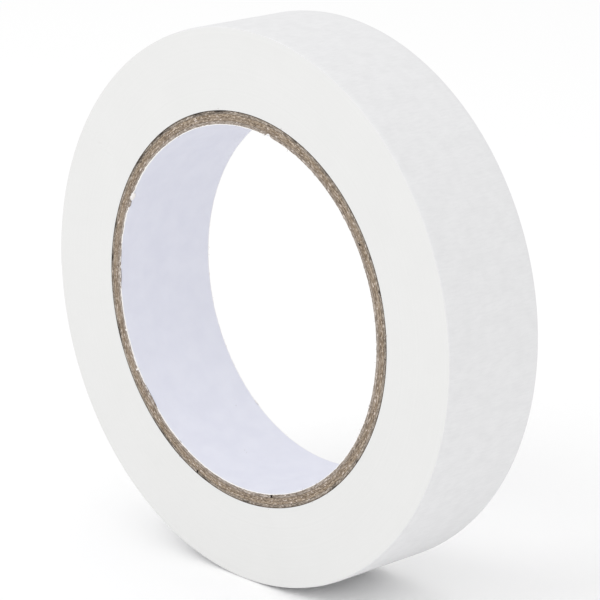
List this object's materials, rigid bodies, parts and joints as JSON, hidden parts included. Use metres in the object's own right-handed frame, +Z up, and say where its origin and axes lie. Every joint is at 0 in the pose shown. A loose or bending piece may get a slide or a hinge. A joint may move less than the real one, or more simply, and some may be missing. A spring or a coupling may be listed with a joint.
{
  "type": "masking tape roll",
  "caption": "Roll of white crepe-paper masking tape standing on its tread, wound on a spiral paperboard core with a paper liner, with a free end that peels.",
  "frame": {"origin": "on the surface that the roll stands on, below the middle of the roll", "axes": "+Z up; +Y along the roll's axis, from the front face to the back face; +X to the right as the front face is seen"},
  "size_m": [0.1159, 0.025, 0.1158],
  "materials": {
    "crepe_tape": "matte",
    "liner_paper": "matte",
    "core_board": "matte",
    "kraft_paper": "matte"
  },
  "bodies": {
    "roll": {"core_liner": "liner_paper", "core_board_ply_1": "core_board", "core_board_ply_2": "core_board", "core_board_ply_3": "core_board", "core_board_ply_4": "core_board", "core_outer_ply": "kraft_paper", "tape_pack": "crepe_tape"},
    "free_end": {"tape_end": "crepe_tape"}
  },
  "joints": [
    {"name": "peel", "type": "hinge", "parent": "roll", "child": "free_end", "pos_m": [-0.04924, 0, 0.08849], "axis": [0, 1, 0], "range_deg": [0, 140]}
  ]
}
